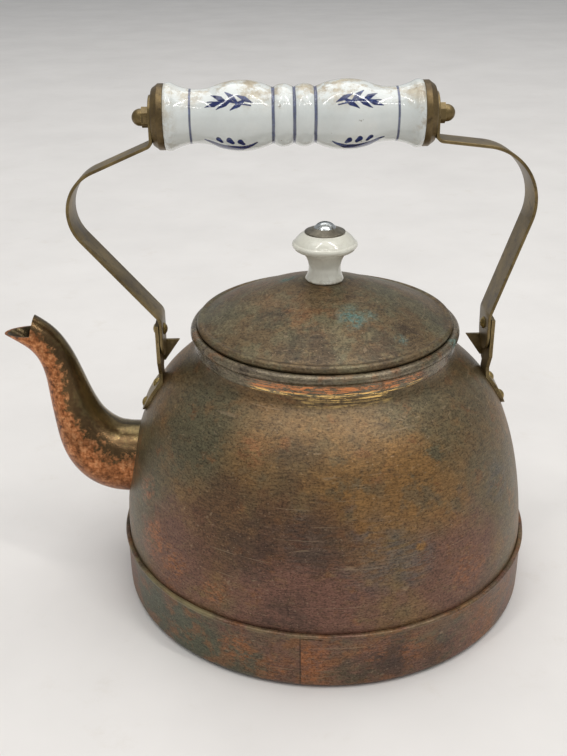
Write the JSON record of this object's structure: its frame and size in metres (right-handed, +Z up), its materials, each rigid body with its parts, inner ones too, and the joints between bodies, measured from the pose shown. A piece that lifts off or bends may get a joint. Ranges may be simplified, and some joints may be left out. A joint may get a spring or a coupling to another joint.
{
  "type": "tea kettle",
  "caption": "Domed copper tea kettle with a gooseneck spout, a lift-off lid with a porcelain knob, and a brass strap bail with a porcelain grip that swings back on riveted ears.",
  "frame": {"origin": "centre of the flat underside, on the table", "axes": "+Z up the kettle's axis, -X towards the spout, -Y towards the side that the picture was taken from"},
  "size_m": [0.219, 0.1756, 0.2123],
  "materials": {
    "aged_copper": "brown patina with worn copper patches",
    "rim_copper": "satin, greyish brown with a bright copper sleeve",
    "spout_copper": "glossy olive bronze above, mottled bare copper below",
    "aged_brass": "dull olive brass",
    "rivet_brass": "rubbed brass",
    "grip_porcelain": "white glaze with blue brushwork",
    "knob_porcelain": "cream glaze",
    "washer_metal": "dull grey brown",
    "bright_steel": "bright plated",
    "plain_steel": "plain"
  },
  "bodies": {
    "kettle": {"body_dome": "aged_copper", "base_band": "aged_copper", "bottom_pan": "aged_copper", "rim_ring": "rim_copper", "spout": "spout_copper", "ear_left": "aged_brass", "ear_right": "aged_brass", "ear_rivets_left": "rivet_brass", "ear_rivets_right": "rivet_brass", "pivot_rivet_left": "rivet_brass", "pivot_rivet_right": "rivet_brass"},
    "handle": {"handle_arm_left": "aged_brass", "handle_arm_right": "aged_brass", "handle_grip": "grip_porcelain", "end_cap_left": "aged_brass", "end_cap_right": "aged_brass", "handle_rod": "plain_steel", "cap_nut_left": "aged_brass", "cap_nut_right": "aged_brass"},
    "lid": {"lid_cover": "aged_copper", "lid_skirt": "aged_copper", "lid_knob": "knob_porcelain", "knob_washer": "washer_metal", "knob_screw": "bright_steel", "knob_nut": "plain_steel"}
  },
  "joints": [
    {"name": "handle_swing", "type": "hinge", "parent": "kettle", "child": "handle", "pos_m": [0, 0, 0.1145], "axis": [-1, 0, 0], "range_deg": [0, 70]},
    {"name": "lid_lift", "type": "slide", "parent": "kettle", "child": "lid", "axis": [0, 0, 1], "range_m": [0, 0.026]}
  ]
}
